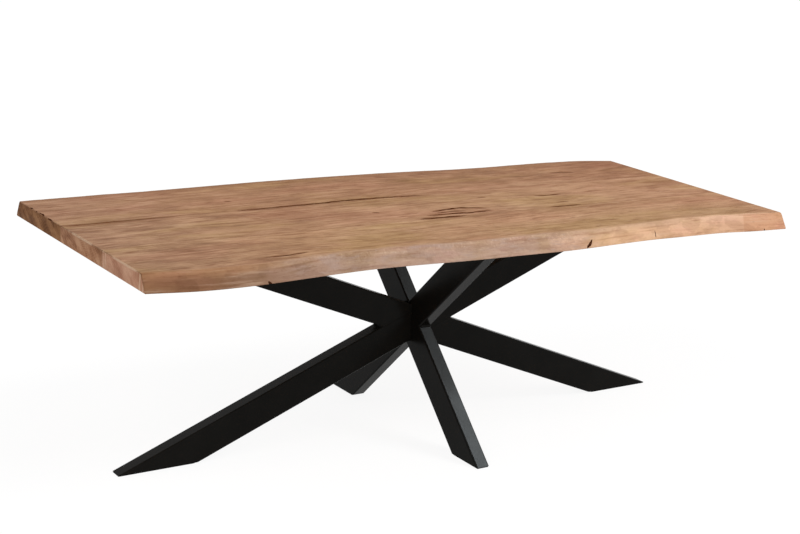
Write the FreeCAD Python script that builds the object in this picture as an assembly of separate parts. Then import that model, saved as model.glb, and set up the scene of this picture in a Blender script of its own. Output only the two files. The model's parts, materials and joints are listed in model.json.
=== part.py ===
import FreeCAD, Part
import math
import os

from FreeCAD import Placement, Rotation, Vector

# Live edge dining table: three glued planks on a base of crossed steel tubes.
# Millimetres. +X runs along the table to its right end, +Y to its back edge, +Z up.
# The origin is on the floor, under the middle of the base.

# Size of the whole table
table_length = 2400.0
table_height = 760.0
top_thickness = 52.0

# Live edges from left to right: place along the table, then how far the wood reaches
# out from the middle line at the top face and at the under face
back_live_edge = [
    (-1200, 483, 505),
    (-950, 488, 507),
    (-700, 492, 510),
    (-450, 502, 511.5),
    (-220, 507, 512),
    (50, 503, 511),
    (250, 494, 507),
    (450, 475, 497),
    (600, 470, 494),
    (950, 470, 495),
    (1060, 461, 487),
    (1200, 423, 449),
]
front_live_edge = [
    (-1200, 405, 434),
    (-1040, 432, 466),
    (-900, 441, 472),
    (-750, 428, 463),
    (-600, 411, 451),
    (-450, 413, 445),
    (-300, 416, 453),
    (-120, 432, 467),
    (80, 435, 473),
    (250, 438, 480),
    (480, 444, 470),
    (600, 438, 466),
    (780, 430, 472),
    (920, 441, 477),
    (1060, 460, 499),
    (1200, 483, 512),
]

# Glue joints of the top, each this far from the middle line, and the dowels that align them
glue_joint_reach = 150.0
dowel_diameter = 12.0
dowel_length = 80.0
dowels_per_joint = 8
dowel_end_margin = 150.0
glue_gap = 0.1

# Tubes of the base, which cross at one hub
tube_width = 100.0
tube_depth = 50.0
tube_wall = 3.0
tube_corner = 5.0
hub_height = 369.0
long_slope = 21.3
cross_slope = 44.4

# Feet: a welded end plate over a glide pad
pad_thickness = 3.0
pad_inset = 3.0
foot_plate_thickness = 4.0

# Plates that carry the top, slotted across the grain so that the wood can move
mount_plate_thickness = 6.0
mount_plate_lip = 35.0
mount_plate_corner = 10.0
slot_width = 9.0
slot_length = 18.0

# M8 bolts, washers and threaded inserts
bolt_diameter = 8.0
bolt_length = 35.0
bolt_head_across_flats = 13.0
bolt_head_height = 5.3
washer_diameter = 22.0
washer_bore = 8.4
washer_thickness = 2.0
insert_diameter = 12.0
insert_bore = 8.2
insert_length = 25.0
insert_hole_depth = 30.0

# Sides of the base by the compass turn of their leg and arm, and the slope of their tubes
side_turn = {"right": 0.0, "back": 90.0, "left": 180.0, "front": 270.0}
side_slope = {"right": long_slope, "back": cross_slope, "left": long_slope, "front": cross_slope}

# Worked-out heights
underside = table_height - top_thickness
arm_top = underside - mount_plate_thickness
leg_bottom = pad_thickness + foot_plate_thickness
joint_height = underside + top_thickness / 2

# Longer than any piece, for blanks that are cut to length
blank_length = 2 * table_length
up = Vector(0, 0, 1)


def direction(side):
    """Level unit vector from the hub towards one side of the table."""
    turn = math.radians(side_turn[side])
    return Vector(round(math.cos(turn)), round(math.sin(turn)), 0)


def opposite(side):
    """Side across the hub from the given one."""
    names = list(side_turn)
    return names[(names.index(side) + 2) % len(names)]


def slab(low, high):
    """Layer of space between two heights."""
    corner = Vector(-blank_length / 2, -blank_length / 2, low)
    return Part.makeBox(blank_length, blank_length, high - low, corner)


def half_space(side):
    """All space on one side of the hub."""
    half = Part.makeBox(blank_length, blank_length, blank_length, Vector(0, -blank_length / 2, -blank_length / 2))
    half.rotate(Vector(0, 0, 0), up, side_turn[side])
    return half


# Table top

def plank_outline(live_edge, joint_y, height):
    """Closed outline of an outer plank at one height: joint, two sawn ends and the live edge."""
    points = [Vector(x, y, height) for x, y in live_edge]
    joint_left = Vector(points[0].x, joint_y, height)
    joint_right = Vector(points[-1].x, joint_y, height)
    edge_curve = Part.BSplineCurve()
    edge_curve.interpolate(points)
    return Part.Wire([
        Part.makeLine(joint_left, joint_right),
        Part.makeLine(joint_right, points[-1]),
        edge_curve.toShape(),
        Part.makeLine(points[0], joint_left),
    ])


def outer_plank(stations, side):
    """Plank with one live edge, ruled from the under face to the narrower top face."""
    outward = direction(side).y
    top_edge = [(x, outward * at_top) for x, at_top, at_under in stations]
    under_edge = [(x, outward * at_under) for x, at_top, at_under in stations]
    joint_y = outward * glue_joint_reach
    under_outline = plank_outline(under_edge, joint_y, underside)
    top_outline = plank_outline(top_edge, joint_y, table_height)
    return Part.makeLoft([under_outline, top_outline], True, True)


def centre_plank():
    """Plain plank between the two glue joints."""
    corner = Vector(-table_length / 2, -glue_joint_reach, underside)
    return Part.makeBox(table_length, 2 * glue_joint_reach, top_thickness, corner)


def dowel_row(side, diameter, length):
    """Row of cylinders across one glue joint, as dowels or as their holes."""
    outward = direction(side)
    span = table_length - 2 * dowel_end_margin
    pitch = span / (dowels_per_joint - 1)
    row = []
    for number in range(dowels_per_joint):
        middle = Vector(number * pitch - span / 2, outward.y * glue_joint_reach, joint_height)
        start = middle - outward * (length / 2)
        row.append(Part.makeCylinder(diameter / 2, length, start, outward))
    return row


def dowels(side):
    return Part.makeCompound(dowel_row(side, dowel_diameter, dowel_length))


def dowel_holes(side):
    return dowel_row(side, dowel_diameter + 2 * glue_gap, dowel_length + 2 * glue_gap)


# Steel base

def bar(side, width, depth, corner):
    """Straight bar through the hub that rises towards one side, with rounded long edges."""
    blank = Part.makeBox(blank_length, depth, width, Vector(-blank_length / 2, -depth / 2, -width / 2))
    if corner > 0:
        long_edges = [edge for edge in blank.Edges if math.isclose(edge.Length, blank_length)]
        blank = blank.makeFillet(corner, long_edges)
    lean = Rotation(Vector(0, 1, 0), -side_slope[side])
    heading = Rotation(up, side_turn[side])
    blank.Placement = Placement(Vector(0, 0, hub_height), heading.multiply(lean))
    return blank


def solid_bar(side, inset=0.0):
    """Outside of a tube, or a smaller bar inside it."""
    return bar(side, tube_width - 2 * inset, tube_depth - 2 * inset, tube_corner - inset)


def square_bar(side):
    """Outside of a tube with sharp edges, for cutting the ends that butt against it."""
    return bar(side, tube_width, tube_depth, 0.0)


def tube(side):
    """Whole hollow tube through the hub, from the floor plates to the plates under the top."""
    return solid_bar(side).cut(solid_bar(side, tube_wall)).common(slab(leg_bottom, arm_top))


def coped_half(rise_side, end_side):
    """Half of a lengthwise tube, cut to butt against the one that runs through."""
    return tube(rise_side).common(half_space(end_side)).cut(square_bar(opposite(rise_side)))


def mitred_half(rise_side, end_side):
    """Half of a crosswise tube, mitred at hub height and coped round the lengthwise tubes."""
    is_arm = rise_side == end_side
    layer = slab(hub_height, table_height) if is_arm else slab(0, hub_height)
    half = tube(rise_side).common(half_space(end_side)).common(layer)
    return half.cut(square_bar("left")).cut(square_bar("right"))


def foot_slice(side, low, high, inset):
    """Level slice of a leg close to the floor."""
    return solid_bar(opposite(side), inset).common(half_space(side)).common(slab(low, high))


def foot_plate(side):
    return foot_slice(side, pad_thickness, leg_bottom, 0.0)


def foot_pad(side):
    return foot_slice(side, 0.0, pad_thickness, pad_inset)


# Plates and fasteners under the top

def plate_centre(side):
    """Middle of the place where an arm meets the plate that it carries."""
    reach = (arm_top - hub_height) / math.tan(math.radians(side_slope[side]))
    return direction(side) * reach


def plate_half_size(side):
    """Half sizes of a plate along X and Y: the arm's end with a lip all round."""
    along = tube_width / math.sin(math.radians(side_slope[side])) / 2 + mount_plate_lip
    across = tube_depth / 2 + mount_plate_lip
    runs_lengthwise = direction(side).x != 0
    return (along, across) if runs_lengthwise else (across, along)


def bolt_places(side):
    """Centres of a plate's four bolts, half a lip in from its edges."""
    centre = plate_centre(side)
    half_x, half_y = plate_half_size(side)
    from_x = half_x - mount_plate_lip / 2
    from_y = half_y - mount_plate_lip / 2
    corners = [(-1, -1), (1, -1), (1, 1), (-1, 1)]
    return [centre + Vector(sx * from_x, sy * from_y, 0) for sx, sy in corners]


def upright_cylinder(place, diameter, low, high):
    return Part.makeCylinder(diameter / 2, high - low, Vector(place.x, place.y, low), up)


def slot(place):
    """Slot through a plate, long across the table."""
    half_run = Vector(0, (slot_length - slot_width) / 2, 0)
    ends = [upright_cylinder(place + shift, slot_width, arm_top, underside) for shift in (half_run, -half_run)]
    corner = Vector(place.x - slot_width / 2, place.y - half_run.y, arm_top)
    middle = Part.makeBox(slot_width, 2 * half_run.y, mount_plate_thickness, corner)
    return middle.fuse(ends)


def mount_plate(side):
    """Plate welded on an arm, with four slots for the bolts."""
    centre = plate_centre(side)
    half_x, half_y = plate_half_size(side)
    corner = Vector(centre.x - half_x, centre.y - half_y, arm_top)
    plate = Part.makeBox(2 * half_x, 2 * half_y, mount_plate_thickness, corner)
    upright_edges = [edge for edge in plate.Edges if math.isclose(edge.Length, mount_plate_thickness)]
    plate = plate.makeFillet(mount_plate_corner, upright_edges)
    return plate.cut([slot(place) for place in bolt_places(side)])


def bolt(place):
    """Hexagon head bolt, driven up from below."""
    head_top = arm_top - washer_thickness
    head_bottom = head_top - bolt_head_height
    corner_radius = bolt_head_across_flats / math.sqrt(3)
    corners = []
    for number in range(7):
        turn = math.radians(60 * number)
        arm = Vector(corner_radius * math.cos(turn), corner_radius * math.sin(turn), head_bottom)
        corners.append(Vector(place.x, place.y, 0) + arm)
    head = Part.Face(Part.makePolygon(corners)).extrude(up * bolt_head_height)
    shank = upright_cylinder(place, bolt_diameter, head_top, head_top + bolt_length)
    return head.fuse(shank).removeSplitter()


def washer(place):
    low = arm_top - washer_thickness
    disc = upright_cylinder(place, washer_diameter, low, arm_top)
    return disc.cut(upright_cylinder(place, washer_bore, low, arm_top))


def threaded_insert(place):
    """Bushing set flush into the under face of a plank."""
    high = underside + insert_length
    body = upright_cylinder(place, insert_diameter, underside, high)
    return body.cut(upright_cylinder(place, insert_bore, underside, high))


def insert_holes(sides):
    """Blind holes that take the inserts of some plates."""
    diameter = insert_diameter + 2 * glue_gap
    high = underside + insert_hole_depth
    places = [place for side in sides for place in bolt_places(side)]
    return [upright_cylinder(place, diameter, underside, high) for place in places]


# Every node of the table
all_bolt_places = [place for side in side_turn for place in bolt_places(side)]
nodes = {
    "plank_back": outer_plank(back_live_edge, "back").cut(dowel_holes("back") + insert_holes(["back"])),
    "plank_centre": centre_plank().cut(
        dowel_holes("back") + dowel_holes("front") + insert_holes(["left", "right"])
    ),
    "plank_front": outer_plank(front_live_edge, "front").cut(dowel_holes("front") + insert_holes(["front"])),
    "dowels_back_joint": dowels("back"),
    "dowels_front_joint": dowels("front"),
    "through_bar": tube("right"),
    "leg_right": coped_half("left", "right"),
    "arm_left": coped_half("left", "left"),
    "mount_bolts": Part.makeCompound([bolt(place) for place in all_bolt_places]),
    "mount_washers": Part.makeCompound([washer(place) for place in all_bolt_places]),
    "threaded_inserts": Part.makeCompound([threaded_insert(place) for place in all_bolt_places]),
}
for side in ("front", "back"):
    nodes["leg_" + side] = mitred_half(opposite(side), side)
    nodes["arm_" + side] = mitred_half(side, side)
for side in side_turn:
    nodes["foot_plate_" + side] = foot_plate(side)
    nodes["foot_pad_" + side] = foot_pad(side)
    nodes["mount_plate_" + side] = mount_plate(side)

os.makedirs("parts", exist_ok=True)
for name, shape in nodes.items():
    shape.exportStep("parts/" + name + ".step")
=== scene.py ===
import json
import math

import bmesh
import bpy
import numpy as np
from mathutils import Matrix, Vector, noise

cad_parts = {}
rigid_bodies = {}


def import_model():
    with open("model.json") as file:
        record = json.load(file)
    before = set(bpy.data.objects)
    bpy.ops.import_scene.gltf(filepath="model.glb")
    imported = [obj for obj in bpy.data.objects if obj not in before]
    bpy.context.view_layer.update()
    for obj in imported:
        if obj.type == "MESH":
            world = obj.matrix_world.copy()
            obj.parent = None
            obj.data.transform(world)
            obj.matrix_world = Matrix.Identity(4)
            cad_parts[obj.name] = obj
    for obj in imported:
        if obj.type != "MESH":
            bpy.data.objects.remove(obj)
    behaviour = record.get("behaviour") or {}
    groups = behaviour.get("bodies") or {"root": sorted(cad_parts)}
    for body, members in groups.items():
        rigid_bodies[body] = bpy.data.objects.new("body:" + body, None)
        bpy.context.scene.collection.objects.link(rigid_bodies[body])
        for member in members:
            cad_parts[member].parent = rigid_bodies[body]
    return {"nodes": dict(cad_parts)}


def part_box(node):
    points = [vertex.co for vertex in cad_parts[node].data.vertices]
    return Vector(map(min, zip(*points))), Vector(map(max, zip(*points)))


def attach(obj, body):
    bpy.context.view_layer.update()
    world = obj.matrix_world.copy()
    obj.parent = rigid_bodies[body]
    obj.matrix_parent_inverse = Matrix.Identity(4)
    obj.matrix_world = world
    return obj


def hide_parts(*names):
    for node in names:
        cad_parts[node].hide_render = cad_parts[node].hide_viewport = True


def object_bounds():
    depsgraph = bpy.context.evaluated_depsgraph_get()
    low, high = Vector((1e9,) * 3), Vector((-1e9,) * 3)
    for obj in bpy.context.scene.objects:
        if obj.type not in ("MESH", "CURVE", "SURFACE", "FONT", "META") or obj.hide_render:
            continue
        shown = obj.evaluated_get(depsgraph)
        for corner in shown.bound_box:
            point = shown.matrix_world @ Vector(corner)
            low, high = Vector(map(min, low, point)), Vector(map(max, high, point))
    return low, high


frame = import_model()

# Live edge dining table: looks for three glued planks on a base of crossed steel tubes.
# Metres, in the frame of the part: +X along the table, +Y to its back edge, +Z up.

cad_low, cad_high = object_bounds()

x_axis = Vector((1, 0, 0))
y_axis = Vector((0, 1, 0))
z_axis = Vector((0, 0, 1))

# Sizes taken from the frame
centre_low, centre_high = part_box("plank_centre")
half_length = centre_high.x
joint_reach = centre_high.y
top_z = centre_high.z
under_z = centre_low.z

# Live edges from left to right: place along the table, then how far the wood reaches
# out from the middle line at the top face and at the under face
back_live_edge = [
    (-1.2, 0.483, 0.505), (-0.95, 0.488, 0.507), (-0.7, 0.492, 0.51), (-0.45, 0.502, 0.5115),
    (-0.22, 0.507, 0.512), (0.05, 0.503, 0.511), (0.25, 0.494, 0.507), (0.45, 0.475, 0.497),
    (0.6, 0.47, 0.494), (0.95, 0.47, 0.495), (1.06, 0.461, 0.487), (1.2, 0.423, 0.449),
]
front_live_edge = [
    (-1.2, 0.405, 0.434), (-1.04, 0.432, 0.466), (-0.9, 0.441, 0.472), (-0.75, 0.428, 0.463),
    (-0.6, 0.411, 0.451), (-0.45, 0.413, 0.445), (-0.3, 0.416, 0.453), (-0.12, 0.432, 0.467),
    (0.08, 0.435, 0.473), (0.25, 0.438, 0.48), (0.48, 0.444, 0.47), (0.6, 0.438, 0.466),
    (0.78, 0.43, 0.472), (0.92, 0.441, 0.477), (1.06, 0.46, 0.499), (1.2, 0.483, 0.512),
]

# Relief of a live edge: height, waves per metre along and up the edge, and layer of noise,
# for slow swells, furrows along the edge and small bites
edge_relief = [(0.0016, 3.2, 9.0, 0.0), (0.0011, 9.0, 75.0, 7.0), (0.0005, 38.0, 120.0, 13.0)]
relief_sink = 0.0008

# Waver of the crease line: height, waves per metre and layer of noise
crease_relief = [(0.0022, 7.0, 0.0), (0.0012, 29.0, 3.0)]

# Mesh steps and small edges of the planks
ring_step = 0.004
toe_steps = 4
slope_steps = 15
crease_steps = 8
end_arris = 0.002
joint_arris = 0.0004
toe_round = 0.005
box_margin = 0.0002
plank_sharp_angle = math.radians(38)

# Cracks in the top face: width, then points along each one
cracks = [
    (0.0105, [
        (-0.61, 0.146), (-0.49, 0.15), (-0.29, 0.155), (-0.19, 0.163), (-0.03, 0.157), (0.11, 0.148),
    ]),
    (0.0038, [(-1.19, 0.136), (-1.11, 0.14), (-0.99, 0.143), (-0.84, 0.145)]),
    (0.0105, [(-0.1, -0.141), (-0.01, -0.146), (0.08, -0.148)]),
    (0.01, [(-0.05, -0.108), (0.04, -0.111), (0.13, -0.119), (0.21, -0.114)]),
    (0.0105, [(0.0, -0.068), (0.06, -0.057), (0.11, -0.051), (0.155, -0.06), (0.21, -0.083)]),
    (0.005, [(0.0, -0.09), (0.06, -0.085), (0.12, -0.09)]),
    (0.007, [(0.44, -0.139), (0.5, -0.145), (0.57, -0.143)]),
    (0.004, [(0.505, -0.09), (0.56, -0.093)]),
    (0.0065, [(0.49, 0.013), (0.55, 0.008), (0.61, 0.01)]),
    (0.004, [(-0.2, -0.012), (-0.178, -0.024)]),
    (0.003, [(0.275, 0.058), (0.31, 0.052)]),
    (0.0055, [(-0.805, -0.378), (-0.72, -0.379), (-0.65, -0.367)]),
    (0.0045, [(0.8, 0.312), (0.905, 0.288)]),
    (0.003, [(-0.585, 0.282), (-0.563, 0.267)]),
]

# Chips along the top arris of the left end, lined with the dark crack wall colour as painted shade: width,
# then where each starts and ends across
end_chips = [
    (0.007, 0.392, 0.374), (0.0055, 0.345, 0.334), (0.009, 0.322, 0.278), (0.007, 0.252, 0.216),
]

# Splits in the front live edge: width, then top and bottom point as (x, z)
edge_splits = [
    (0.009, (0.356, 0.732), (0.322, 0.709)), (0.0035, (0.635, 0.738), (0.631, 0.714)),
    (0.01, (-0.836, 0.717), (-0.826, 0.704)), (0.004, (1.104, 0.716), (1.101, 0.707)),
]

# Form of a crack, as shares of its width or depth, and the length of its mesh steps
depth_share = 0.8
side_rough = 0.7
depth_rough = 0.5
crack_wander = 0.4
overshoot = 0.4
mouth_flare = 1.3
least_taper = 0.05
crack_step = 0.003
crack_seed_step = 3.7

# Holes in the under face and across the joints, where the fasteners and dowels sit
bolt_inset = 0.0175
insert_hole_diameter = 0.0122
insert_hole_depth = 0.03
dowel_hole_diameter = 0.0122
dowel_hole_length = 0.0802
dowels_per_joint = 8
dowel_end_margin = 0.15

# Tubes of the base, from the frame: half their depth, the hub, and the slopes of the tubes
plate_sides = ("left", "right", "front", "back")
tube_width = 0.1
half_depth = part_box("leg_front")[1].x
hub_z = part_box("arm_front")[0].z
plate_low, plate_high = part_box("mount_plate_right")
front_plate_low, front_plate_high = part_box("mount_plate_front")
long_slope = math.atan2(plate_low.z - hub_z, (plate_low.x + plate_high.x) / 2)
cross_slope = math.atan2(plate_low.z - hub_z, -(front_plate_low.y + front_plate_high.y) / 2)
plate_lip = (plate_high.y - plate_low.y) / 2 - half_depth

# Weld beads: ripples along them, run-out at their ends, and the sizes of each kind
weld_step = 0.0009
weld_ripple = 0.0045
ripple_share = 0.35
run_out = 0.005
run_out_share = 0.25
butt_half_width = 0.0045
butt_depth = 0.004
butt_height = 0.0005
fork_bead = 0.006
plate_bead = 0.005
fillet_share = 0.2
bead_end_gap = 0.004
bead_sharp_angle = math.radians(50)

# Wood: shift of the slow changes of colour, a year's growth, and width of the painted highlight on the
# arrises of the sawn ends
slow_shift = (5.3, 2.7, 7.9)
growth_ring = 0.0075
arris_highlight_width = 0.005

# Lamps: name, direction towards each, strength, angle of its disc in degrees, whether it casts shadows
lamps = [
    ("key", (0.53, -0.48, 0.7), 0.95, 24.0, True),
    ("sheen", (0.579, -0.36, 0.731), 1.33, 10.0, False),
    ("fill", (-0.75, -0.3, 0.6), 0.7, 40.0, True),
]
world_strength = 0.37

# Floor: its colour as a lit surface, and the part of its white look that takes the shadow
floor_grey = 0.8
shadow_grey = 0.18
floor_glow = 0.84
floor_reach = 30.0
floor_z = -0.0004

# Camera that took the photograph, fitted to the straight edges of the table
photo_width = 800
focal_pixels = 1613.7
camera_place = (-3.027, -4.2364, 1.959)
camera_yaw = 0.6098
camera_pitch = 0.2642
camera_roll = 0.0673


# Materials

def empty_tree(owner):
    """Node tree of a material or world, with nothing in it."""
    owner.use_nodes = True
    owner.node_tree.nodes.clear()
    return owner.node_tree


def feed(tree, socket, value):
    """Links a socket, or sets it to a number or colour."""
    if isinstance(value, bpy.types.NodeSocket):
        tree.links.new(value, socket)
    else:
        socket.default_value = value


def add_node(tree, kind, *values, **settings):
    """New node with the given settings. Its first sockets take the values in order."""
    node = tree.nodes.new("ShaderNode" + kind)
    for key, value in settings.items():
        setattr(node, key, value)
    for socket, value in zip(node.inputs, values):
        feed(tree, socket, value)
    return node


class Shader:
    """Builds one material. Each method adds nodes and returns the socket that they give.

    Where is the position on the object in metres, and x, y and z are its parts. The shift moves
    the noise, so that no two woods are alike.
    """

    def __init__(self, name, shift=(0.0, 0.0, 0.0)):
        self.material = bpy.data.materials.new(name)
        self.tree = empty_tree(self.material)
        self.surface = self.add("BsdfPrincipled")
        self.add("OutputMaterial", self.surface.outputs["BSDF"])
        self.shift = shift
        self.where = self.add("TexCoord").outputs["Object"]
        self.x, self.y, self.z = self.add("SeparateXYZ", self.where).outputs

    def add(self, kind, *values, **settings):
        return add_node(self.tree, kind, *values, **settings)

    def set(self, node, values):
        """Feeds the sockets of a node by their names."""
        for name, value in values.items():
            feed(self.tree, node.inputs[name], value)

    def join(self, x, y, z):
        return self.add("CombineXYZ", x, y, z).outputs[0]

    def math(self, operation, *values):
        return self.add("Math", *values, operation=operation).outputs[0]

    def product(self, first, second):
        return self.math("MULTIPLY", first, second)

    def minus(self, first, second):
        return self.math("SUBTRACT", first, second)

    def absolute(self, value):
        return self.math("ABSOLUTE", value)

    def plus(self, value, other, weight):
        """Value plus another one times its weight."""
        return self.math("MULTIPLY_ADD", other, weight, value)

    def total(self, *terms):
        """Sum of values, each given with its weight."""
        result = 0.0
        for value, weight in terms:
            result = self.plus(result, value, weight)
        return result

    def length(self, x, y):
        """Distance from the origin of a plane."""
        squares = self.math("ADD", self.math("POWER", x, 2.0), self.math("POWER", y, 2.0))
        return self.math("SQRT", squares)

    def noise(self, scale, detail, roughness, shift=None, at=None):
        """Noise with a scale for each axis, in waves per metre."""
        place = self.add("VectorMath", at or self.where, scale, shift or self.shift)
        place.operation = "MULTIPLY_ADD"
        node = self.add("TexNoise", place.outputs[0])
        self.set(node, {"Scale": 1.0, "Detail": detail, "Roughness": roughness})
        return node.outputs[0]

    def centred(self, value):
        """Noise moved to lie about 0."""
        return self.minus(value, 0.5)

    def spread(self, value, low=-1.0, high=1.0):
        """Noise, which hardly leaves 0.3 to 0.7, made to run from low to high."""
        return self.remap(value, 0.3, 0.7, low, high)

    def remap(self, value, low, high, to_low=0.0, to_high=1.0, how="SMOOTHSTEP"):
        """Value taken from one range to another, and held at its ends."""
        return self.add("MapRange", value, low, high, to_low, to_high, interpolation_type=how).outputs[0]

    def along(self, x):
        """Share of the table's length, from 0 at its left end to 1 at its right end."""
        return self.remap(x, -half_length, half_length, how="LINEAR")

    def ramp(self, value, stops):
        """Colours at given values, blended between them."""
        node = self.add("ValToRGB", value)
        elements = node.color_ramp.elements
        while len(elements) < len(stops):
            elements.new(0.5)
        for element, (at, colour) in zip(elements, stops):
            element.position = at
            element.color = (*colour, 1.0)
        return node.outputs[0]

    def mix(self, factor, first, second, blend="MIX"):
        """First colour, changed to the second as far as the factor says."""
        node = self.add("Mix", factor, data_type="RGBA", blend_type=blend)
        for socket, value in zip(node.inputs[6:8], (first, second)):
            is_socket = isinstance(value, bpy.types.NodeSocket)
            feed(self.tree, socket, value if is_socket else (*value, 1.0))
        return node.outputs[2]

    def times(self, factor, colour, by):
        """Colour multiplied by another one, as far as the factor says."""
        return self.mix(factor, colour, by, "MULTIPLY")

    def spot(self, centre, half_size, turn=0.0):
        """1 in the middle of an oval, falling smoothly to 0 at its edge."""
        dx = self.minus(self.x, centre[0])
        dy = self.minus(self.y, centre[1])
        along = self.total((dx, math.cos(turn) / half_size[0]), (dy, math.sin(turn) / half_size[0]))
        across = self.total((dy, math.cos(turn) / half_size[1]), (dx, -math.sin(turn) / half_size[1]))
        return self.remap(self.length(along, across), 0.0, 1.0, 1.0, 0.0)

    def reach(self, stations):
        """How far a live edge is from the middle line at its top face."""
        node = self.add("FloatCurve")
        self.set(node, {"Value": self.along(self.x)})
        curve = node.mapping.curves[0]
        for at, at_top, at_under in stations[1:-1]:
            curve.points.new(length_share(at), at_top)
        curve.points[0].location = (0.0, stations[0][1])
        curve.points[-1].location = (1.0, stations[-1][1])
        node.mapping.update()
        return node.outputs[0]

    def finish(self, colour, roughness, specular, height, strength, distance):
        """Sets the surface and gives the material."""
        bump = self.add("Bump")
        self.set(bump, {"Strength": strength, "Distance": distance, "Height": height})
        self.set(self.surface, {"Base Color": colour, "Roughness": roughness})
        self.set(self.surface, {"Specular IOR Level": specular, "Normal": bump.outputs[0]})
        return self.material


def length_share(x):
    """Place along the table as a share of its length."""
    return (x + half_length) / (2 * half_length)


def along_stops(zones):
    """Ramp stops of colours given at places along the table."""
    return [(length_share(at), shade) for at, shade in zones]


def arris_highlight_places(s):
    """Stretches across the table where the arris of a sawn end gets a pale painted highlight."""
    highlight_stretches = s.noise((1, 11, 1), 3, 0.6, slow_shift, s.join(0, s.y, 0))
    return s.product(s.remap(highlight_stretches, 0.4, 0.54), s.remap(s.y, 0.13, 0.09))


def crack_stains(side):
    """Ovals of darkened wood along the cracks that touch one plank, one for each stretch."""
    near_joint = 0.01
    run_share = 0.72
    spread = 1.5
    margin = 0.005
    strength = 0.85
    stains = []
    for width, path in cracks:
        middle_y = (path[0][1] + path[-1][1]) / 2
        touches = {
            "back": middle_y > joint_reach - near_joint,
            "centre": abs(middle_y) < joint_reach + near_joint,
            "front": middle_y < near_joint - joint_reach,
        }
        if touches[side]:
            for start, end in zip(path, path[1:]):
                run = Vector(end) - Vector(start)
                middle = Vector(start) + run / 2
                half_size = (run.length * run_share, spread * width + margin)
                stains.append((middle, half_size, strength, math.atan2(run.y, run.x)))
    return stains


def grain_flow(s, knots):
    """Place on a plank whose grain wanders and flows round its knots, and the knots' shades."""
    wander = s.noise((1.1, 2.6, 2.6), 2, 0.55)
    flow_y = s.plus(s.y, s.centred(wander), 0.09)
    shades = []
    for centre, half_size, shade in knots:
        weight = s.spot(centre, half_size)
        push = s.product(s.minus(s.y, centre[1]), weight)
        flow_y = s.plus(flow_y, push, -0.7)
        shades.append((weight, -shade))
    return s.join(s.x, flow_y, s.z), shades


def growth_lines(s, flow, patches):
    """Growth lines, close together or wide apart as the wood was cut."""
    layers = s.noise((0.42, 4.6, 4.6), 1, 0.55, at=flow)
    lines = s.math("PINGPONG", s.product(layers, 46.0), 1.0)
    return s.product(s.remap(lines, 0.5, 1.0), s.remap(patches, 0.35, 0.6, 0.4, 1.0))


def plank_hues(s, colour, flow):
    """Slow changes from olive to red, a greyer left and redder right end, flecks and strokes."""
    hue = s.noise((1.9, 5.5, 5.5), 4, 0.55, slow_shift, flow)
    colour = s.times(s.remap(hue, 0.5, 0.64, 0, 0.75), colour, (0.965, 1.015, 0.87))
    colour = s.times(s.remap(hue, 0.48, 0.34, 0, 0.75), colour, (1.025, 0.955, 1.0))
    colour = s.times(s.remap(s.x, -0.55, -half_length), colour, (1.01, 1.05, 1.14))
    colour = s.times(s.remap(s.x, 0.45, half_length), colour, (1.0, 0.945, 0.955))
    flecks = s.noise((14, 170, 170), 3, 0.55, s.shift[::-1], flow)
    colour = s.mix(s.remap(flecks, 0.6, 0.72, 0, 0.5), colour, (0.595, 0.393, 0.257))
    strokes = s.noise((12, 100, 100), 2, 0.5, s.shift[1:] + s.shift[:1], flow)
    return s.mix(s.remap(strokes, 0.61, 0.72, 0, 0.7), colour, (0.205, 0.085, 0.042))


def plank_marks(s, colour, dashes, fibres, stains, pale_spots):
    """Pale and stained places, and the dark lines of the glue joints."""
    pale_grip = s.remap(dashes, 0.35, 0.6, 0.3, 1.0)
    for centre, half_size, strength in pale_spots:
        pale = s.product(s.spot(centre, half_size), pale_grip)
        colour = s.mix(s.product(pale, strength), colour, (0.57, 0.365, 0.22))
    stain_grip = s.remap(fibres, 0.25, 0.65, 1.15, 0.7)
    for centre, half_size, strength, *turn in stains:
        stain = s.product(s.spot(centre, half_size, *turn), strength)
        colour = s.mix(s.product(stain, stain_grip), colour, (0.145, 0.041, 0.013))
    from_joint = s.absolute(s.minus(s.absolute(s.y), joint_reach))
    joint_line = s.product(s.remap(from_joint, 0.004, 0.0), s.remap(dashes, 0.35, 0.6, 0.1, 0.5))
    return s.mix(joint_line, colour, (0.15, 0.062, 0.032))


def over_crease(s, colour, mottle, edge):
    """Colour of a live edge, running over its crease onto the top."""
    stations, crest_zones, reach = edge
    crest = s.ramp(s.along(s.x), along_stops(crest_zones))
    from_edge = s.minus(s.reach(stations), s.absolute(s.y))
    from_edge = s.plus(from_edge, s.centred(mottle), -1.2 * reach)
    return s.mix(s.remap(from_edge, reach, 0.0, 0.0, 0.85), colour, crest)


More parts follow.
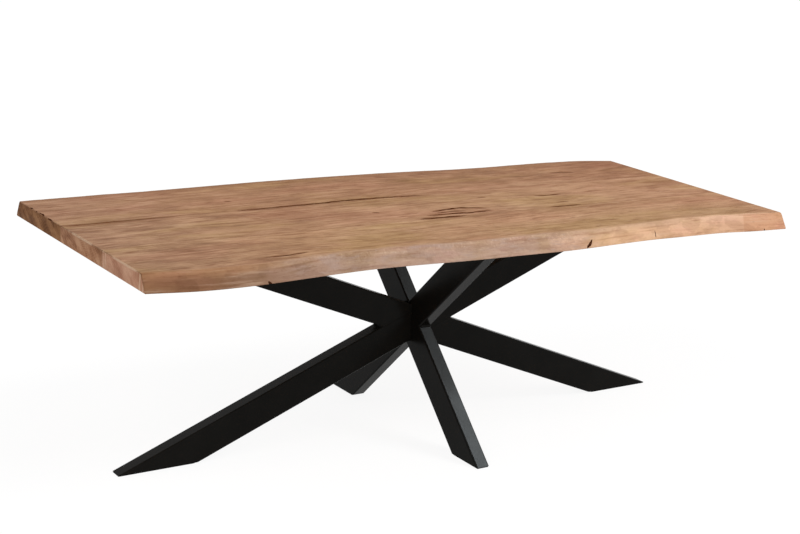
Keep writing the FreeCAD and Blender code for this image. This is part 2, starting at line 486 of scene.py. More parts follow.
def plank_wood(side, shift, tint, edge, stains, pale_spots, lift, knots=()):
    """Long grain of one plank.

    Lift is how much lighter the right end is. An edge is a live edge, its colours at the crease
    and how far they run over onto the top. Stains, knots and pale spots are ovals.
    """
    s = Shader("wood_" + side, shift)
    flow, knot_shades = grain_flow(s, knots)
    clouds = s.noise((1.6, 3.6, 3.6), 2, 0.5, slow_shift)
    patches = s.noise((6.5, 17, 17), 3, 0.5, at=flow)
    bands = s.noise((2.6, 44, 44), 3, 0.6, at=flow)
    mottle = s.noise((15, 30, 30), 2, 0.5, at=flow)
    dashes = s.noise((13, 90, 90), 3, 0.55, at=flow)
    fibres = s.noise((6, 330, 330), 5, 0.65, at=flow)
    tone = s.total(
        (s.remap(s.x, -half_length, half_length, -1.0, 1.0, "LINEAR"), lift),
        (s.spread(clouds), 0.05),
        (s.spread(patches), 0.115),
        (s.spread(bands), 0.07),
        (s.spread(mottle), 0.065),
        (s.spread(dashes), 0.06),
        (s.spread(fibres), 0.15),
        (growth_lines(s, flow, patches), -0.14),
        *knot_shades,
    )
    colour = s.ramp(s.math("ADD", tone, 0.555), [
        (0.0, (0.17, 0.082, 0.045)), (0.28, (0.283, 0.149, 0.082)), (0.52, (0.408, 0.231, 0.13)),
        (0.76, (0.508, 0.303, 0.18)), (1.0, (0.605, 0.39, 0.25)),
    ])
    colour = plank_hues(s, colour, flow)
    colour = plank_marks(s, colour, dashes, fibres, crack_stains(side) + stains, pale_spots)
    colour = s.times(1.0, colour, tint)
    if edge:
        colour = over_crease(s, colour, mottle, edge)
    # Painted highlight: a pale strip on the top face along the arris of each sawn end
    end_highlight_strip = s.remap(s.absolute(s.x), half_length - arris_highlight_width, half_length)
    colour = s.mix(s.product(end_highlight_strip, arris_highlight_places(s)), colour, (0.64, 0.43, 0.29))
    pores = s.remap(s.noise((55, 1300, 1300), 1, 0.5, at=flow), 0.63, 0.73)
    colour = s.mix(s.product(pores, 0.55), colour, (0.1, 0.045, 0.022))
    height = s.total((fibres, 0.6), (dashes, 0.4), (pores, -0.5))
    return s.finish(colour, s.spread(dashes, 0.72, 0.64), 0.03, height, 0.3, 0.0008)


def weathering(s, colour):
    """Pinkish grey wood, faint upright ticks and fine pale specks on the middle of a live edge."""
    middle = s.product(s.remap(s.x, -0.9, -0.6), s.remap(s.x, 0.45, 0.2))
    grey_wood = s.noise((11, 8, 60), 4, 0.6, s.shift[::-1])
    grey_strength = s.product(s.remap(grey_wood, 0.48, 0.64, 0, 0.55), middle)
    colour = s.mix(grey_strength, colour, (0.4, 0.285, 0.235))
    ticks = s.noise((330, 8, 60), 2, 0.6)
    tick_strength = s.product(s.remap(ticks, 0.56, 0.72, 0, 0.3), middle)
    colour = s.times(tick_strength, colour, (0.66, 0.58, 0.55))
    specks = s.noise((160, 50, 150), 5, 0.75)
    near_crease = s.product(s.remap(s.z, under_z + 0.015, top_z - 0.004, 0.25, 1.0), middle)
    speck_strength = s.product(s.remap(specks, 0.47, 0.74), near_crease)
    return s.times(speck_strength, colour, (1.32, 1.42, 1.5))


def live_edge_wood(side, zones, crest_zones, shift, last_step=2.0):
    """Debarked edge: sapwood whose colour changes along the table and towards the crease.

    Beyond the last step, a place along the table, the wood is redder.
    """
    s = Shader("live_edge_" + side, shift)
    drift = s.centred(s.noise((6, 4, 20), 4, 0.6))
    along = s.along(s.plus(s.x, drift, 0.16))
    low = s.ramp(along, along_stops(zones))
    crest = s.ramp(along, along_stops(crest_zones))
    drifted_z = s.plus(s.z, drift, 0.03)
    colour = s.mix(s.remap(drifted_z, under_z + 0.026, top_z - 0.004), low, crest)
    slant_x = s.plus(s.x, s.minus(top_z, s.z), 0.4)
    colour = s.times(s.remap(slant_x, last_step, last_step + 0.005), colour, (0.93, 0.86, 0.82))
    hue = s.noise((7, 4, 18), 3, 0.55, shift[::-1])
    colour = s.times(s.remap(hue, 0.5, 0.66, 0, 0.8), colour, (0.86, 0.85, 0.74))
    colour = s.times(s.remap(hue, 0.48, 0.34, 0, 0.8), colour, (1.02, 0.97, 1.03))

    # Blocks of darker wood, long streaks and short scales
    blocks = s.noise((10, 3, 24), 3, 0.6, shift[1:] + shift[:1])
    colour = s.times(s.remap(blocks, 0.49, 0.56, 0, 0.6), colour, (0.8, 0.76, 0.75))
    streaks = s.noise((5, 6, 90), 5, 0.6)
    colour = s.times(s.remap(streaks, 0.5, 0.7, 0, 0.75), colour, (0.66, 0.56, 0.51))
    colour = s.mix(s.remap(streaks, 0.46, 0.3, 0, 0.3), colour, (0.64, 0.46, 0.33))
    scales = s.noise((70, 30, 190), 4, 0.65)
    colour = s.times(s.remap(scales, 0.52, 0.72, 0, 0.45), colour, (0.72, 0.63, 0.6))

    colour = weathering(s, colour)
    fibres = s.noise((18, 40, 700), 3, 0.6)
    colour = s.times(s.remap(fibres, 0.52, 0.74, 0, 0.4), colour, (0.72, 0.6, 0.54))
    height = s.total((streaks, 1.0), (scales, 0.7), (fibres, 0.5))
    return s.finish(colour, s.spread(scales, 0.66, 0.8), 0.05, height, 0.5, 0.001)


def end_grain(side, shift, shades, pith, streaked=()):
    """Sawn end of a plank.

    The rings run round the pith of the tree, a place (y, z) outside the plank. Streaked places
    have pale upright streaks: middle across the table and half width.
    """
    s = Shader("end_grain_" + side, shift)
    blotches = s.noise((5, 16, 20), 4, 0.6)
    slant = s.join(s.x, s.plus(s.y, s.z, -1.3), s.z)
    layers = s.noise((3, 26, 9), 3, 0.55, at=slant)
    rays = s.noise((4, 190, 40), 3, 0.55)
    pores = s.remap(s.noise((60, 900, 900), 1, 0.5), 0.6, 0.72)
    from_pith = s.length(s.minus(s.y, pith[0]), s.minus(s.z, pith[1]))
    uneven = s.centred(s.noise((3, 11, 11), 3, 0.5))
    rings = s.math("FRACT", s.total((from_pith, 1 / growth_ring), (uneven, 7.0)))
    late_wood = s.product(s.remap(rings, 0.35, 0.98), s.remap(layers, 0.35, 0.62, 1.0, 0.4))
    tone = s.total(
        (s.remap(blotches, 0.32, 0.68), 0.44),
        (s.remap(layers, 0.32, 0.68), 0.36),
        (s.remap(rays, 0.3, 0.7), 0.12),
        (late_wood, -0.2),
    )
    colour = s.ramp(s.math("ADD", tone, 0.12), list(zip((0.1, 0.48, 0.9), shades)))
    streaks = s.noise((4, 120, 5), 2, 0.5, shift[::-1])
    streak_strength = s.remap(streaks, 0.5, 0.62, 0, 0.9)
    for middle, half_width in streaked:
        near = s.remap(s.absolute(s.minus(s.y, middle)), half_width, 0.5 * half_width)
        colour = s.mix(s.product(near, streak_strength), colour, (0.69, 0.475, 0.325))
    # Painted highlight: a pale strip on the end face just under its top arris
    arris_highlight_strip = s.remap(s.z, top_z - end_arris - arris_highlight_width, top_z - end_arris)
    colour = s.mix(s.product(arris_highlight_strip, arris_highlight_places(s)), colour, (0.66, 0.45, 0.305))
    colour = s.mix(s.product(pores, 0.5), colour, (0.06, 0.026, 0.013))
    height = s.total((rays, 1.0), (late_wood, 0.5), (pores, -1.0))
    return s.finish(colour, s.spread(blotches, 0.68, 0.8), 0.05, height, 0.35, 0.0006)


def crack_wall_and_shade():
    """Torn wood inside the cracks, holes and chips: dark partly of itself and partly as painted shade in
    these hollows.
    """
    s = Shader("crack_wall_and_shade")
    fibres = s.noise((20, 240, 240), 4, 0.65)
    colour = s.ramp(fibres, [
        (0.25, (0.042, 0.012, 0.004)), (0.55, (0.094, 0.03, 0.011)),
        (0.8, (0.175, 0.066, 0.027)),
    ])
    return s.finish(colour, s.spread(fibres, 0.8, 0.95), 0.03, fibres, 0.6, 0.001)


def powder_coat():
    """Black coat with a fine sandy skin and a slight sheen."""
    s = Shader("powder_coat")
    grit = s.noise((1400, 1400, 1400), 2, 0.5)
    peel = s.noise((260, 260, 260), 2, 0.5)
    cloud = s.noise((7, 7, 7), 4, 0.6)
    colour = s.ramp(s.total((cloud, 0.6), (grit, 0.4)), [
        (0.3, (0.0051, 0.0044, 0.0036)), (0.5, (0.0072, 0.0063, 0.0052)),
        (0.75, (0.0107, 0.0096, 0.0081)),
    ])
    height = s.total((grit, 0.5), (peel, 1.0))
    s.set(s.surface, {"Specular Tint": (0.84, 0.95, 1.0, 1.0)})
    return s.finish(colour, s.spread(cloud, 0.235, 0.27), 0.04, height, 0.2, 0.0004)


def rubber():
    """Glide pads under the feet."""
    s = Shader("rubber")
    grit = s.noise((700, 700, 700), 3, 0.6)
    colour = s.ramp(grit, [(0.3, (0.008, 0.008, 0.008)), (0.7, (0.022, 0.021, 0.02))])
    return s.finish(colour, s.spread(grit, 0.75, 0.9), 0.15, grit, 0.4, 0.0005)


def plated(name, shades, roughness):
    """Metal of the fasteners, with a slightly clouded plating."""
    s = Shader(name)
    cloud = s.noise((130, 130, 130), 4, 0.6)
    scratch = s.noise((900, 900, 90), 2, 0.5)
    colour = s.ramp(s.total((cloud, 0.7), (scratch, 0.3)), [(0.35, shades[0]), (0.65, shades[1])])
    sheen = s.spread(cloud, roughness - 0.07, roughness + 0.07)
    s.set(s.surface, {"Metallic": 1.0})
    return s.finish(colour, sheen, 0.5, scratch, 0.15, 0.0003)


def dowel_wood():
    """Straight beech grain across the joints."""
    s = Shader("dowel_wood")
    grain = s.noise((420, 12, 420), 4, 0.6)
    rays = s.noise((900, 160, 900), 2, 0.5)
    colour = s.ramp(s.total((grain, 0.7), (rays, 0.3)), [
        (0.3, (0.4, 0.24, 0.13)), (0.5, (0.56, 0.37, 0.22)),
        (0.7, (0.68, 0.49, 0.32)),
    ])
    return s.finish(colour, s.spread(grain, 0.7, 0.55), 0.25, grain, 0.3, 0.0004)


# Meshes

def swept_mesh(name, rings):
    """Closed mesh through rings of points, each joined to the next, with both ends capped."""
    count = len(rings[0])
    last = (len(rings) - 1) * count
    faces = []
    for start in range(0, last, count):
        for i in range(count):
            j = (i + 1) % count
            faces.append((start + i, start + j, start + count + j, start + count + i))
    faces.append(tuple(range(count)))
    faces.append(tuple(range(last, last + count)))
    mesh = bpy.data.meshes.new(name)
    mesh.from_pydata([point for ring in rings for point in ring], [], faces)
    shape = bmesh.new()
    shape.from_mesh(mesh)
    bmesh.ops.recalc_face_normals(shape, faces=shape.faces)
    shape.to_mesh(mesh)
    shape.free()
    return mesh


def shown(name, mesh, materials):
    """Object in the scene with the given materials."""
    piece = bpy.data.objects.new(name, mesh)
    for material in materials:
        mesh.materials.append(material)
    bpy.context.scene.collection.objects.link(piece)
    return piece


def smooth_along(points):
    """Smooth curve through points of growing first value, as a function of that value."""
    at = np.array([point[0] for point in points])
    values = np.array([point[1:] for point in points], dtype=float)
    slopes = np.gradient(values, at, axis=0)

    def curve(place):
        i = int(np.clip(np.searchsorted(at, place) - 1, 0, len(at) - 2))
        span = at[i + 1] - at[i]
        t = (place - at[i]) / span
        ease = t * t * (3 - 2 * t)
        leave = span * t * (1 - t) ** 2
        arrive = span * t * t * (1 - t)
        return values[i] * (1 - ease) + values[i + 1] * ease + slopes[i] * leave - slopes[i + 1] * arrive

    return curve


def bend(start, corner, end, steps):
    """Points of a rounded corner, from its start to its end."""
    shares = [step / steps for step in range(steps + 1)]
    return [start * (1 - t) ** 2 + corner * (2 * t * (1 - t)) + end * t * t for t in shares]


def between(start, end, fractions):
    return [start.lerp(end, fraction) for fraction in fractions]


def waves(x, height, seed):
    """Unevenness of a debarked edge at one place."""
    result = 0.0
    for size, along, up, layer in edge_relief:
        result += size * noise.noise(Vector((along * x, up * height, seed + layer)))
    return result - relief_sink


def live_profile(x, edge, crease_round, seed):
    """Outer plank at one place: points (reach, height) from the joint round to the joint.

    Also gives how many of them come before and after the live edge.
    """
    at_top, at_under = edge(x)
    for size, rate, layer in crease_relief:
        at_top += size * noise.noise(Vector((rate * x, layer, seed)))
    toe = Vector((at_under, under_z))
    crease = Vector((at_top, top_z))
    rise = (crease - toe).normalized()
    out = Vector((rise.y, -rise.x))

    toe_in = toe - Vector((toe_round, 0.0))
    crease_in = crease - Vector((crease_round, 0.0))
    slope_low = toe + rise * toe_round
    slope_high = crease - rise * crease_round
    edge_points = bend(toe_in, toe, slope_low, toe_steps)
    edge_points += between(slope_low, slope_high, [i / slope_steps for i in range(1, slope_steps)])
    edge_points += bend(slope_high, crease, crease_in, crease_steps)

    # The relief fades out over a sixth of the edge at the toe and a fifth of it at the crease,
    # and stays below the top face
    for i in range(1, len(edge_points) - 1):
        share = i / (len(edge_points) - 1)
        hold = min(1.0, 6 * share, 5 * (1 - share))
        place = edge_points[i] + out * (hold * waves(x, edge_points[i].y, seed))
        edge_points[i] = Vector((place.x, min(place.y, top_z)))

    joint_low = Vector((joint_reach, under_z + joint_arris))
    joint_high = Vector((joint_reach, top_z - joint_arris))
    under_start = Vector((joint_reach + joint_arris, under_z))
    top_end = Vector((joint_reach + joint_arris, top_z))
    before = [joint_low, under_start] + between(under_start, toe_in, [0.3, 0.6, 0.85, 0.97])
    after = between(crease_in, top_end, [0.02, 0.1, 0.4, 0.7]) + [top_end, joint_high]
    return before + edge_points + after, len(before), len(after)


def end_inset(ring):
    """Ring drawn in all round by the arris of a sawn end."""
    low = Vector([min(values) for values in zip(*ring)])
    high = Vector([max(values) for values in zip(*ring)])
    middle = (low + high) / 2
    half = (high - low) / 2
    scale_x = 1 - end_arris / half.x
    scale_y = 1 - end_arris / half.y
    offsets = [point - middle for point in ring]
    return [middle + Vector((offset.x * scale_x, offset.y * scale_y)) for offset in offsets]


def places_along():
    """Places of the rings along a plank, with an arris at both ends."""
    inner = half_length - end_arris
    steps = round(2 * inner / ring_step)
    return [-half_length] + [-inner + 2 * inner * i / steps for i in range(steps + 1)] + [half_length]


def outer_plank(side, stations, crease_round, outward, seed):
    """Mesh of a plank with a live edge. Material 0 is its faces, 1 the live edge, 2 its ends."""
    edge = smooth_along(stations)
    furthest = cad_high.y - box_margin
    rings = []
    for x in places_along():
        ring, before, after = live_profile(x, edge, crease_round, seed)
        if abs(x) == half_length:
            ring = end_inset(ring)
        rings.append([Vector((x, outward * min(reach, furthest), z)) for reach, z in ring])
    mesh = swept_mesh("plank_" + side, rings)
    count = len(rings[0])
    edge_end = count - after - crease_steps // 2
    ends = len(mesh.polygons) - 2
    for polygon in mesh.polygons:
        segment = polygon.index % count
        if polygon.index >= ends:
            polygon.material_index = 2
        elif before <= segment < edge_end:
            polygon.material_index = 1
    return mesh


def inner_plank():
    """Mesh of the plain plank between the joints. Material 0 is its faces, 1 its ends."""
    reach = joint_reach
    corners = [
        (-reach, under_z + joint_arris), (-reach + joint_arris, under_z),
        (reach - joint_arris, under_z), (reach, under_z + joint_arris),
        (reach, top_z - joint_arris), (reach - joint_arris, top_z),
        (-reach + joint_arris, top_z), (-reach, top_z - joint_arris),
    ]
    ring = [Vector(corner) for corner in corners]
    inner = half_length - end_arris
    rings = []
    for x in (-half_length, -inner, inner, half_length):
        profile = end_inset(ring) if abs(x) == half_length else ring
        rings.append([Vector((x, y, z)) for y, z in profile])
    mesh = swept_mesh("plank_centre", rings)
    for polygon in mesh.polygons[-2:]:
        polygon.material_index = 1
    return mesh


def ragged(along, seed, strand):
    """Unevenness along the side of a crack: slow changes with small splinters on them."""
    slow = noise.noise(Vector((34.0 * along, seed, strand)))
    splinters = noise.noise(Vector((170.0 * along, seed, strand + 1.5)))
    return slow + 0.35 * splinters


def split_cutter(path, inward, width, seed):
    """Thin ragged wedge along a path, open at the surface and tapering to both ends."""
    lengths = [0.0]
    for start, end in zip(path, path[1:]):
        lengths.append(lengths[-1] + (end - start).length)
    full = lengths[-1]
    depth = depth_share * width
    curve = smooth_along([(length, *point) for length, point in zip(lengths, path)])
    steps = max(8, round(full / crack_step))
    rings = []
    for step in range(steps + 1):
        t = step / steps
        place = Vector(curve(t * full))
        ahead = Vector(curve(min(1.0, t + 0.01) * full))
        behind = Vector(curve(max(0.0, t - 0.01) * full))
        across = (ahead - behind).cross(inward).normalized()
        rough = [ragged(t * full, seed, 3.0 * i) for i in range(4)]
        taper = max(least_taper, math.sin(math.pi * t) ** 0.5)
        left = across * (0.5 * width * taper * (1.0 + side_rough * rough[0]))
        right = across * (0.5 * width * taper * (1.0 + side_rough * rough[1]))
        deep = inward * (depth * taper * (1.0 + depth_rough * rough[2]))
        place += across * (crack_wander * width * rough[3])
        above = place - inward * (overshoot * depth)
        rings.append([
            above - left * mouth_flare, above + right * mouth_flare,
            place + right * 0.6 + deep * 0.6, place + deep, place - left * 0.7 + deep * 0.5,
        ])
    return swept_mesh("crack", rings)


def hole_cutter(start, along, diameter, length):
    """Round drill hole."""
    sides = 24
    first = along.orthogonal().normalized() * (diameter / 2)
    spokes = [Matrix.Rotation(2 * math.pi * i / sides, 3, along) @ first for i in range(sides)]
    rings = [[start + along * shift + spoke for spoke in spokes] for shift in (0.0, length)]
    return swept_mesh("hole", rings)


def front_edge_place(x, z):
    """Point on the front live edge."""
    at_top, at_under = smooth_along(front_live_edge)(x)
    share = (z - under_z) / (top_z - under_z)
    return Vector((x, -(at_under + (at_top - at_under) * share), z))


def crack_cutters():
    """Wedges for the cracks of the top, the splits of the front edge and the chips of the left end."""
    in_top = [(width, [Vector((x, y, top_z)) for x, y in path]) for width, path in cracks]
    in_edge = [(width, [front_edge_place(*end) for end in ends]) for width, *ends in edge_splits]
    in_arris = [(width, [Vector((-half_length, y, top_z)) for y in ends]) for width, *ends in end_chips]
    kinds = [
        (in_top, -z_axis, 0.0),
        (in_edge, Vector((0.0, 0.85, -0.53)), 60.0),
        (in_arris, Vector((0.71, 0.0, -0.71)), 90.0),
    ]
    cutters = []
    for splits, inward, first_seed in kinds:
        for number, (width, points) in enumerate(splits):
            cutters.append(split_cutter(points, inward, width, first_seed + crack_seed_step * number))
    return cutters


def hole_cutters():
    """Holes of the threaded inserts and of the dowels."""
    cutters = []
    below = 0.001
    for side in plate_sides:
        low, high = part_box("mount_plate_" + side)
        for x in (low.x + bolt_inset, high.x - bolt_inset):
            for y in (low.y + bolt_inset, high.y - bolt_inset):
                start = Vector((x, y, under_z - below))
                depth = insert_hole_depth + below
                cutters.append(hole_cutter(start, z_axis, insert_hole_diameter, depth))
    span = 2 * (half_length - dowel_end_margin)
    for joint in (joint_reach, -joint_reach):
        for number in range(dowels_per_joint):
            x = number * span / (dowels_per_joint - 1) - span / 2
            start = Vector((x, joint - dowel_hole_length / 2, (top_z + under_z) / 2))
            cutters.append(hole_cutter(start, y_axis, dowel_hole_diameter, dowel_hole_length))
    return cutters


def carve(piece, cutters, material):
    """Cuts closed meshes out of a piece. The new faces take the given material."""
    group = bpy.data.collections.new("cutters")
    for mesh in cutters:
        mesh.materials.append(material)
        group.objects.link(bpy.data.objects.new(mesh.name, mesh))
    bpy.context.scene.collection.children.link(group)
    cut = piece.modifiers.new("cut", "BOOLEAN")
    cut.operation = "DIFFERENCE"
    cut.solver = "EXACT"
    cut.operand_type = "COLLECTION"
    cut.collection = group
    cut.material_mode = "TRANSFER"
    graph = bpy.context.evaluated_depsgraph_get()
    carved = bpy.data.meshes.new_from_object(piece.evaluated_get(graph), depsgraph=graph)
    piece.modifiers.clear()
    piece.data = carved
    for cutter in list(group.objects):
        bpy.data.objects.remove(cutter)
    bpy.data.collections.remove(group)


def touching(meshes, low_y, high_y):
    """Copies of the meshes that reach into a strip of the table."""
    found = []
    for mesh in meshes:
        across = [vertex.co.y for vertex in mesh.vertices]
        if max(across) > low_y and min(across) < high_y:
            found.append(mesh.copy())
    return found


# Top

def add_plank(side, mesh, materials, strip, cutters):
    """Plank of the top, carved and shown in place of its solid."""
    piece = shown("top_plank_" + side, mesh, materials)
    carve(piece, touching(cutters, *strip), materials[-1])
    piece.data.shade_smooth()
    piece.data.set_sharp_from_angle(angle=plank_sharp_angle)
    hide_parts("plank_" + side)
    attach(piece, "root")


# In the planks below, stains, pale spots and knots are ovals: middle, half sizes, strength, and for
# some a turn. Zones are colours of a live edge along the table, and crest those at its crease

def add_front_plank(crack, cutters):
    # The front live edge and its crest grow lighter to the right: partly the sapwood, partly painted light
    # falling from the right
    zones = [
        (-1.2, (0.262, 0.13, 0.066)), (-0.97, (0.22, 0.112, 0.06)), (-0.72, (0.335, 0.21, 0.148)),
        (-0.45, (0.425, 0.28, 0.202)), (0.1, (0.475, 0.315, 0.23)), (0.3, (0.64, 0.4, 0.27)),
        (0.475, (0.74, 0.465, 0.28)), (0.98, (0.675, 0.405, 0.255)), (1.2, (0.71, 0.415, 0.255)),
    ]
    crest = [
        (-1.2, (0.345, 0.178, 0.09)), (-0.9, (0.36, 0.195, 0.105)), (-0.72, (0.42, 0.265, 0.175)),
        (0.2, (0.47, 0.3, 0.205)), (0.475, (0.6, 0.38, 0.235)), (0.62, (0.61, 0.385, 0.25)),
        (0.78, (0.76, 0.49, 0.325)), (1.02, (0.75, 0.475, 0.315)), (1.2, (0.69, 0.4, 0.245)),
    ]
    stains = [((0.62, -0.176), (0.3, 0.04), 0.5), ((-1.02, -0.24), (0.18, 0.11), 0.1)]
    pale = [((0.95, -0.38), (0.3, 0.08), 0.55), ((-0.35, -0.24), (0.4, 0.09), 0.18)]
    end_shades = [(0.365, 0.163, 0.092), (0.495, 0.25, 0.155), (0.61, 0.35, 0.23)]
    streaked = [(-0.17, 0.03), (-0.41, 0.04)]
    tint = (1.0, 0.99, 0.95)
    edge = (front_live_edge, crest, 0.02)
    materials = [
        plank_wood("front", (4.1, 9.3, 2.6), tint, edge, stains, pale, lift=0.08),
        live_edge_wood("front", zones, crest, (3.1, 5.7, 1.2), last_step=1.034),
        end_grain("front", (6.3, 2.2, 8.1), end_shades, (-0.19, 0.58), streaked),
        crack,
    ]
    mesh = outer_plank("front", front_live_edge, crease_round=0.009, outward=-1, seed=11.0)
    add_plank("front", mesh, materials, (-cad_high.y, -joint_reach), cutters)


def add_centre_plank(crack, cutters):
    stains = [
        ((-1.08, 0.132), (0.24, 0.024), 0.6), ((-0.66, -0.12), (0.18, 0.06), 0.2),
        ((-0.48, 0.04), (0.28, 0.09), 0.36), ((-0.28, -0.05), (0.22, 0.07), 0.28),
        ((0.0, 0.125), (0.9, 0.035), 0.22), ((0.09, -0.09), (0.17, 0.06), 0.14),
        ((0.5, 0.11), (0.24, 0.045), 0.12), ((0.6, -0.143), (0.22, 0.014), 0.2),
        ((0.98, -0.146), (0.24, 0.01), 0.3), ((1.1, 0.05), (0.2, 0.16), 0.24),
        ((0.2, 0.105), (0.15, 0.007), 0.4, -0.32),
    ]
    knots = [((-0.735, 0.098), (0.055, 0.035), 0.22), ((0.1, -0.085), (0.15, 0.06), 0.05)]
    pale = [
        ((-0.86, 0.035), (0.11, 0.04), 0.6), ((-1.02, 0.095), (0.09, 0.025), 0.45),
        ((0.32, -0.085), (0.2, 0.07), 0.45), ((0.66, -0.1), (0.2, 0.04), 0.45),
        ((0.1, -0.085), (0.07, 0.03), 0.35),
    ]
    end_shades = [(0.205, 0.084, 0.039), (0.385, 0.188, 0.102), (0.53, 0.295, 0.175)]
    tint = (1.0, 0.98, 0.97)
    materials = [
        plank_wood("centre", (8.7, 3.4, 5.9), tint, None, stains, pale, lift=0.085, knots=knots),
        end_grain("centre", (1.7, 6.6, 3.8), end_shades, (0.03, 0.9)),
        crack,
    ]
    add_plank("centre", inner_plank(), materials, (-joint_reach, joint_reach), cutters)


def add_back_plank(crack, cutters):
    zones = [
        (-1.2, (0.22, 0.105, 0.052)), (-0.5, (0.3, 0.165, 0.092)),
        (0.3, (0.34, 0.195, 0.12)), (1.2, (0.28, 0.145, 0.078)),
    ]
    crest = [(-1.2, (0.25, 0.12, 0.06)), (1.2, (0.3, 0.155, 0.085))]
    stains = [
        ((-0.16, 0.16), (0.14, 0.014), 0.8), ((-0.95, 0.45), (0.5, 0.06), 0.2),
        ((1.08, 0.36), (0.2, 0.16), 0.18),
    ]
    pale = [((0.64, 0.18), (0.38, 0.05), 0.65), ((0.78, 0.325), (0.1, 0.03), 0.45)]
    end_shades = [(0.105, 0.042, 0.017), (0.19, 0.084, 0.037), (0.33, 0.165, 0.078)]
    tint = (0.89, 0.83, 0.81)
    edge = (back_live_edge, crest, 0.045)
    materials = [
        plank_wood("back", (2.9, 7.1, 9.4), tint, edge, stains, pale, lift=-0.03),
        live_edge_wood("back", zones, crest, (7.4, 1.9, 4.3)),
        end_grain("back", (5.2, 8.8, 0.7), end_shades, (0.23, 0.59)),
        crack,
    ]
    mesh = outer_plank("back", back_live_edge, crease_round=0.004, outward=1, seed=23.0)
    add_plank("back", mesh, materials, (joint_reach, cad_high.y), cutters)


def build_top():
    crack = crack_wall_and_shade()
    cutters = crack_cutters() + hole_cutters()
    add_front_plank(crack, cutters)
    add_centre_plank(crack, cutters)
    add_back_plank(crack, cutters)


# Steel base

def weld(start, end, across, outward, half_width, back, proud):
    """Rippled bead along a seam, sunk into it at the back and a little proud of its face."""
    run = end - start
    steps = max(8, round(run.length / weld_step))
    rings = []
    for step in range(steps + 1):
        gone = run.length * step / steps
        taper = min(1.0, run_out_share + gone / run_out, run_out_share + (run.length - gone) / run_out)
        ripple = 1.0 + ripple_share * math.sin(2 * math.pi * gone / weld_ripple)
        middle = start + run * (step / steps)
        side = across * (half_width * taper)
        rise = outward * (proud * taper * ripple)
        rings.append([
            middle - side, middle - side * 0.6 + rise * 0.7, middle + rise,
            middle + side * 0.6 + rise * 0.7, middle + side, middle - outward * back,
        ])
    return swept_mesh("weld", rings)


def corner_weld(start, end, first, second, size):
    """Fillet bead in an inside corner, between two faces that leave it in the given directions."""
    across = (second - first).normalized()
    outward = (first + second).normalized()
    shift = (first + second) * (size / 2)
    reach = size / math.sqrt(2)
    return weld(start + shift, end + shift, across, outward, reach, reach, fillet_share * size)


def fork_reach(slope):
    """How far from the hub an arm and the leg below it part."""
    return tube_width / 2 / math.sin(slope)


def butt_welds():
    """Beads where the lengthwise tubes butt together."""
    slope = Vector((math.cos(long_slope), 0, math.sin(long_slope)))
    square = Vector((-slope.z, 0, slope.x))
    apex_x = fork_reach(long_slope)
    beads = []
    for face in (-1, 1):
        outward = y_axis * face
        for end in (-1, 1):
            apex = Vector((end * apex_x, face * half_depth, hub_z))
            near_hub = apex - slope * (end * (apex_x - half_depth) / slope.x)
            beads.append(weld(apex, near_hub, square, outward, butt_half_width, butt_depth, butt_height))
    return beads


def fork_welds():
    """Beads in the forks between arms and legs."""
    beads = []
    for along, beside, slope in ((x_axis, y_axis, long_slope), (y_axis, x_axis, cross_slope)):
        half_run = beside * (half_depth - bead_end_gap)
        rise = z_axis * math.sin(slope)
        for end in (-1, 1):
            fork = along * (end * fork_reach(slope)) + z_axis * hub_z
            away = along * (end * math.cos(slope))
            beads.append(corner_weld(fork - half_run, fork + half_run, away + rise, away - rise, fork_bead))
    return beads


def plate_welds():
    """Beads along both sides of each arm, under its plate."""
    beads = []
    for side in plate_sides:
        low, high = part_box("mount_plate_" + side)
        middle = (low + high) / 2
        half = (high - low) / 2
        along, beside = (x_axis, y_axis) if half.x > half.y else (y_axis, x_axis)
        half_run = along * (max(half.x, half.y) - plate_lip - bead_end_gap)
        for face in (-1, 1):
            seam = Vector((middle.x, middle.y, low.z)) + beside * (face * half_depth)
            beads.append(corner_weld(seam - half_run, seam + half_run, beside * face, -z_axis, plate_bead))
    return beads


def build_welds(material):
    shape = bmesh.new()
    for bead in butt_welds() + fork_welds() + plate_welds():
        shape.from_mesh(bead)
    mesh = bpy.data.meshes.new("weld_beads")
    shape.to_mesh(mesh)
    shape.free()
    piece = shown("weld_beads", mesh, [material])
    mesh.shade_smooth()
    mesh.set_sharp_from_angle(angle=bead_sharp_angle)
    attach(piece, "root")


def paint(material, *prefixes):
    """Gives a material to the solids whose names start with one of the words."""
    for name, solid in frame["nodes"].items():
        if name.startswith(prefixes):
            solid.data.materials.clear()
            solid.data.materials.append(material)


def build_base():
    steel = powder_coat()
    build_welds(steel)
    paint(steel, "through_bar", "leg_", "arm_", "foot_plate_", "mount_plate_")
    paint(rubber(), "foot_pad_")
    black_zinc = plated("black_zinc", [(0.02, 0.02, 0.022), (0.045, 0.045, 0.047)], 0.42)
    brass = plated("brass", [(0.52, 0.36, 0.14), (0.7, 0.52, 0.24)], 0.32)
    paint(black_zinc, "mount_bolts", "mount_washers")
    paint(brass, "threaded_inserts")
    paint(dowel_wood(), "dowels_")


# Stage

def grey(level):
    return (level, level, level, 1.0)


def shader(tree, kind, *values):
    """Socket of a new shader node."""
    return add_node(tree, kind, *values).outputs[0]


def shows_white(tree):
    """1 for the rays that see the background: camera, mirror and glass rays."""
    path = add_node(tree, "LightPath")
    result = path.outputs["Is Camera Ray"]
    for name in ("Is Glossy Ray", "Is Transmission Ray"):
        result = add_node(tree, "Math", result, path.outputs[name], operation="MAXIMUM").outputs[0]
    return result


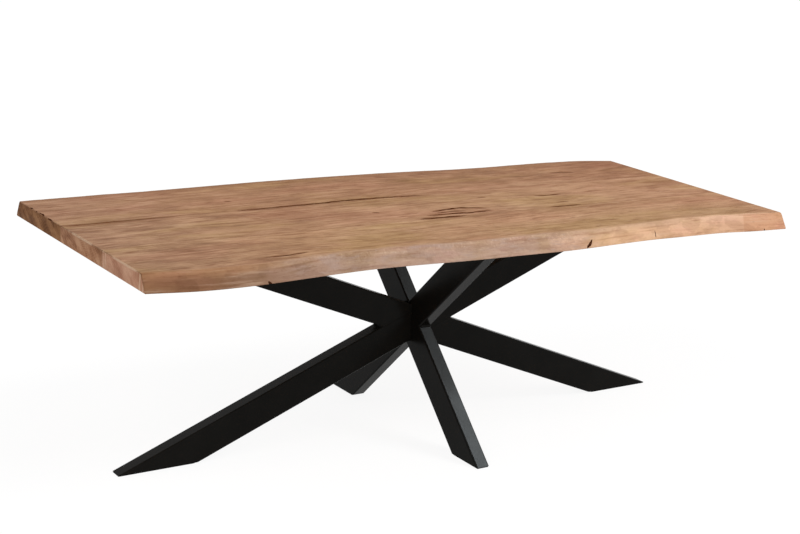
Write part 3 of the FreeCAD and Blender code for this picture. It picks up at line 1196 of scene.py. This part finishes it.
def floor_material():
    """Pale floor. Open floor looks white, and the diffuse part of its light keeps the shadow.

    It is clear from below, so that the under side of the table can be seen.
    """
    material = bpy.data.materials.new("floor")
    tree = empty_tree(material)
    plain = shader(tree, "BsdfDiffuse", grey(floor_grey))
    shadow = shader(tree, "BsdfDiffuse", grey(shadow_grey))
    glow = shader(tree, "Emission", grey(1.0), floor_glow)
    white = shader(tree, "AddShader", shadow, glow)
    above = shader(tree, "MixShader", shows_white(tree), plain, white)
    from_below = add_node(tree, "NewGeometry").outputs["Backfacing"]
    floor = shader(tree, "MixShader", from_below, above, shader(tree, "BsdfTransparent"))
    add_node(tree, "OutputMaterial", floor)
    return material


def build_floor():
    corners = [(-1, -1), (1, -1), (1, 1), (-1, 1)]
    mesh = bpy.data.meshes.new("floor")
    mesh.from_pydata([(x * floor_reach, y * floor_reach, floor_z) for x, y in corners], [], [(0, 1, 2, 3)])
    shown("floor", mesh, [floor_material()])


def build_world():
    """Soft light from all round, which looks white to the camera."""
    world = bpy.data.worlds.new("studio")
    tree = empty_tree(world)
    soft = shader(tree, "Background", grey(1.0), world_strength)
    white = shader(tree, "Background", grey(1.0), 1.0)
    add_node(tree, "OutputWorld", shader(tree, "MixShader", shows_white(tree), soft, white))
    bpy.context.scene.world = world


def add_sun(name, towards, strength, spread, casts_shadow):
    """Even lamp from one direction."""
    light = bpy.data.lights.new(name, "SUN")
    light.energy = strength
    light.angle = math.radians(spread)
    light.use_shadow = casts_shadow
    lamp = bpy.data.objects.new(name, light)
    lamp.rotation_mode = "QUATERNION"
    lamp.rotation_quaternion = Vector(towards).to_track_quat("Z", "Y")
    bpy.context.scene.collection.objects.link(lamp)


def build_camera():
    data = bpy.data.cameras.new("camera")
    data.sensor_width = 36.0
    data.lens = focal_pixels / photo_width * data.sensor_width
    data.clip_end = 100.0
    camera = bpy.data.objects.new("camera", data)
    heading = Matrix.Rotation(-camera_yaw, 4, "Z")
    tilt = Matrix.Rotation(math.pi / 2 - camera_pitch, 4, "X")
    roll = Matrix.Rotation(camera_roll, 4, "Z")
    camera.matrix_world = Matrix.Translation(camera_place) @ heading @ tilt @ roll
    bpy.context.scene.collection.objects.link(camera)
    bpy.context.scene.camera = camera


build_top()
build_base()
build_floor()
build_world()
for lamp in lamps:
    add_sun(*lamp)
build_camera()
bpy.context.scene.view_settings.view_transform = "Standard"
